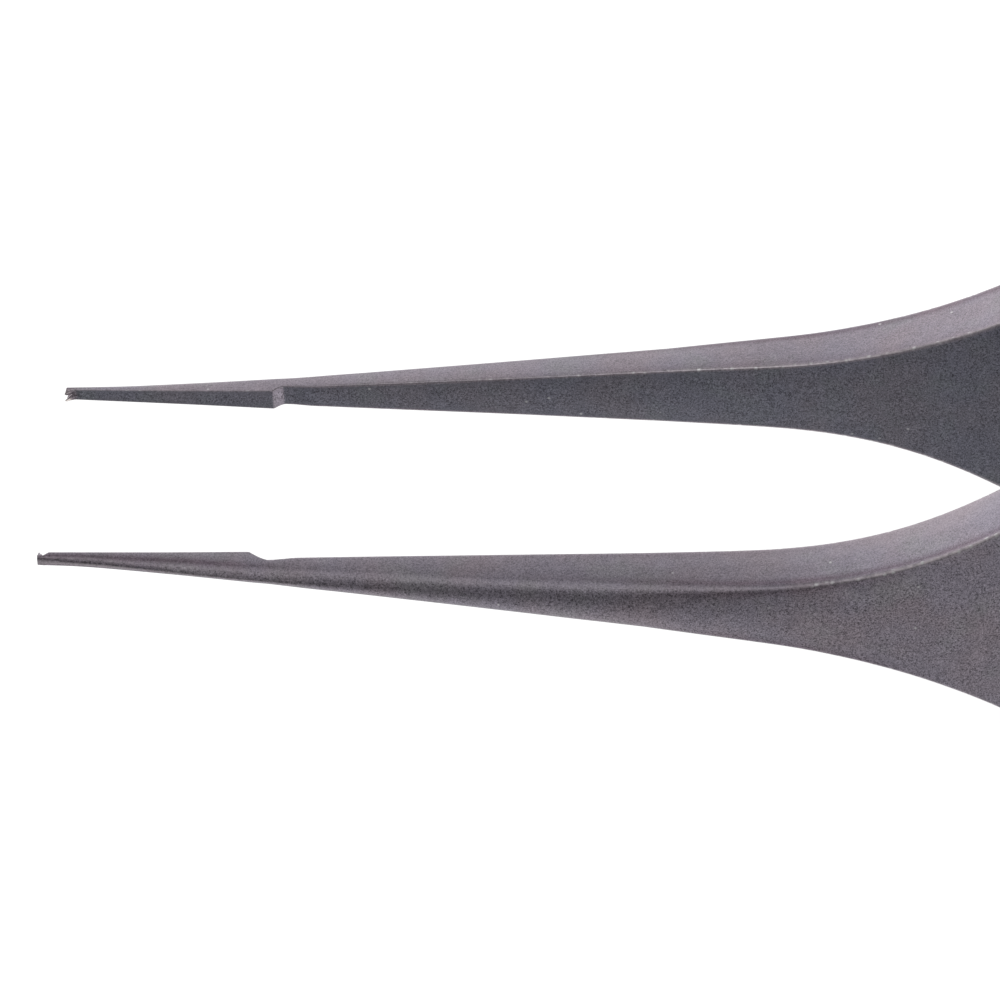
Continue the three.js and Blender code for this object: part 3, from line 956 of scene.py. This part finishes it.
# 1.0: strength of the two-tooth tip's painted shade and glint; the one-tooth arm has 0.0.
two_tooth_leaf = arm_piece(
    "leaf_two_teeth", 1, ("double_tooth_arm", "double_tooth_arm_tail"),
    two_teeth, LEAF_STYLE, 1.0, titanium)
arm_piece(
    "leaf_one_tooth", -1, ("single_tooth_arm", "single_tooth_arm_tail"),
    one_tooth, ONE_TOOTH_STYLE, 0.0, titanium)

spacer = spacer_piece("tail_spacer_block", "tail_spacer", two_tooth_leaf)
spacer_holes = []
for rivet in ("tail_rivet_front", "tail_rivet_rear"):
    rivet_along, rivet_head, _, _ = pin_facts(rivet)
    shank_hole = RIVET["shank_share"] * rivet_head + RIVET["sink_gap"]
    spacer_holes.append(drill(rivet_along, shank_hole, -THROUGH, THROUGH))
cut(spacer, spacer_holes)
finish_mesh(spacer)
for mark in MARKS:
    float_attribute(spacer, mark, np.zeros(len(spacer.data.vertices)))
spacer.data.materials.append(spacer_metal)
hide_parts("tail_spacer")
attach(spacer, "tail")

# Piece, CAD node, body and rim radius in mm.
PINS = (
    ("guide_pin_turned", "guide_pin", "two_tooth_arm", 0.22),
    ("stop_pin_turned", "stop_pin", "one_tooth_arm", 0.12),
)
for name, node, body, end_round in PINS:
    pin = rounded_pin(name, node, end_round)
    pin.data.materials.append(pin_metal)
    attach(pin, body)

for node in ("tail_rivet_front", "tail_rivet_rear"):
    rivet = rivet_piece(node + "_set", node)
    rivet.data.materials.append(pin_metal)
    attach(rivet, "tail")


# ======== Camera ========

def look_from_photo():
    """Camera at the photo's viewing angle, aimed at the jaws a little behind the tips."""
    a, e = VIEW_AZIMUTH, VIEW_ELEVATION
    back = Vector((math.sin(a) * math.cos(e), -math.cos(a) * math.cos(e), math.sin(e)))
    level = Vector((math.cos(a), math.sin(a), 0))
    upright = back.cross(level)
    right = math.cos(VIEW_ROLL) * level + math.sin(VIEW_ROLL) * upright
    up = -math.sin(VIEW_ROLL) * level + math.cos(VIEW_ROLL) * upright
    aim = Vector((TIP_X + AIM_ALONG, 0, MID_Z)) + AIM_SHIFT[0] * right + AIM_SHIFT[1] * up
    place = (aim + VIEW_DISTANCE * back) * MM
    data = bpy.data.cameras.new("photo_camera")
    data.sensor_width = SENSOR
    data.lens = SENSOR * PIXELS_PER_MM * VIEW_DISTANCE / IMAGE_SIDE
    data.clip_start = 0.01
    data.clip_end = 10
    camera = bpy.data.objects.new("photo_camera", data)
    bpy.context.scene.collection.objects.link(camera)
    camera.matrix_world = Matrix((
        (right.x, up.x, back.x, place.x),
        (right.y, up.y, back.y, place.y),
        (right.z, up.z, back.z, place.z),
        (0, 0, 0, 1),
    ))
    bpy.context.scene.camera = camera


# ======== Studio ========

def studio_world(ambient, lobes):
    """Soft surround: an even level, plus wide glows, each (direction, sharpness, strength)."""
    world = bpy.data.worlds.new("studio")
    bpy.context.scene.world = world
    world.use_nodes = True
    n = Nodes(world.node_tree)
    direction = n.add("ShaderNodeTexCoord").outputs["Generated"]
    total = ambient
    for aim, sharpness, strength in lobes:
        unit = Vector(aim).normalized()
        facing = n.add("ShaderNodeVectorMath", {0: direction, 1: tuple(unit)},
                       operation="DOT_PRODUCT").outputs["Value"]
        glow = n.math("POWER", n.math("MAXIMUM", facing, 0.0), sharpness)
        total = n.math("ADD", total, n.math("MULTIPLY", glow, strength))
    background = n.add("ShaderNodeBackground", {"Color": tint(1, 1, 1), "Strength": total})
    n.add("ShaderNodeOutputWorld", {"Surface": background.outputs[0]})


def softbox(name, aim, distance, size, power):
    """Square area light at a distance from the jaws in the given direction, facing them."""
    data = bpy.data.lights.new(name, "AREA")
    data.shape = "SQUARE"
    data.size = size
    data.energy = power
    light = bpy.data.objects.new(name, data)
    bpy.context.scene.collection.objects.link(light)
    unit = Vector(aim).normalized()
    target = Vector(((TIP_X + AIM_ALONG) * MM, 0, MID_Z * MM))
    light.location = target + unit * distance
    light.rotation_mode = "QUATERNION"
    light.rotation_quaternion = unit.to_track_quat("Z", "Y")


def pale_floor():
    """White table, lit from within like a light table, so that it stays pale under the jaws."""
    size = 4.0
    corners = [(-size, -size, 0), (size, -size, 0), (size, size, 0), (-size, size, 0)]
    mesh = bpy.data.meshes.new("pale_floor")
    mesh.from_pydata(corners, [], [(0, 1, 2, 3)])
    floor = bpy.data.objects.new("pale_floor", mesh)
    bpy.context.scene.collection.objects.link(floor)
    material = bpy.data.materials.new("pale_floor")
    material.use_nodes = True
    n = Nodes(material.node_tree)
    shader = n.add("ShaderNodeBsdfPrincipled", {
        "Base Color": grey(0.35), "Roughness": 0.9, "Emission Color": grey(1.0),
        "Emission Strength": 0.93, "Specular IOR Level": 0.0,
    })
    n.add("ShaderNodeOutputMaterial", {"Surface": shader.outputs[0]})
    mesh.materials.append(material)
    floor.visible_glossy = False


# Even level of the surround, and its wide glows: direction, sharpness and strength of each.
AMBIENT = 0.20
WINDOW_BEHIND = ((-0.45, 0.87, 0.15), 3.0, 1.19)
TABLE_BELOW = ((0.0, 0.05, -1.0), 2.0, 0.70)
CEILING_IN_FRONT = ((0.0, -0.45, 0.90), 6.0, 0.55)
TABLE_AT_RIGHT = ((0.75, -0.35, -0.55), 7.0, 0.80)
WINDOW_AT_LEFT = ((-0.80, 0.55, 0.25), 10.0, 0.35)

look_from_photo()
studio_world(AMBIENT, [
    WINDOW_BEHIND, TABLE_BELOW, CEILING_IN_FRONT, TABLE_AT_RIGHT, WINDOW_AT_LEFT,
])
softbox("edge_light", aim=(0.05, -0.55, 0.83), distance=0.5, size=0.16, power=0.15)
pale_floor()
bpy.context.scene.view_settings.view_transform = "Standard"
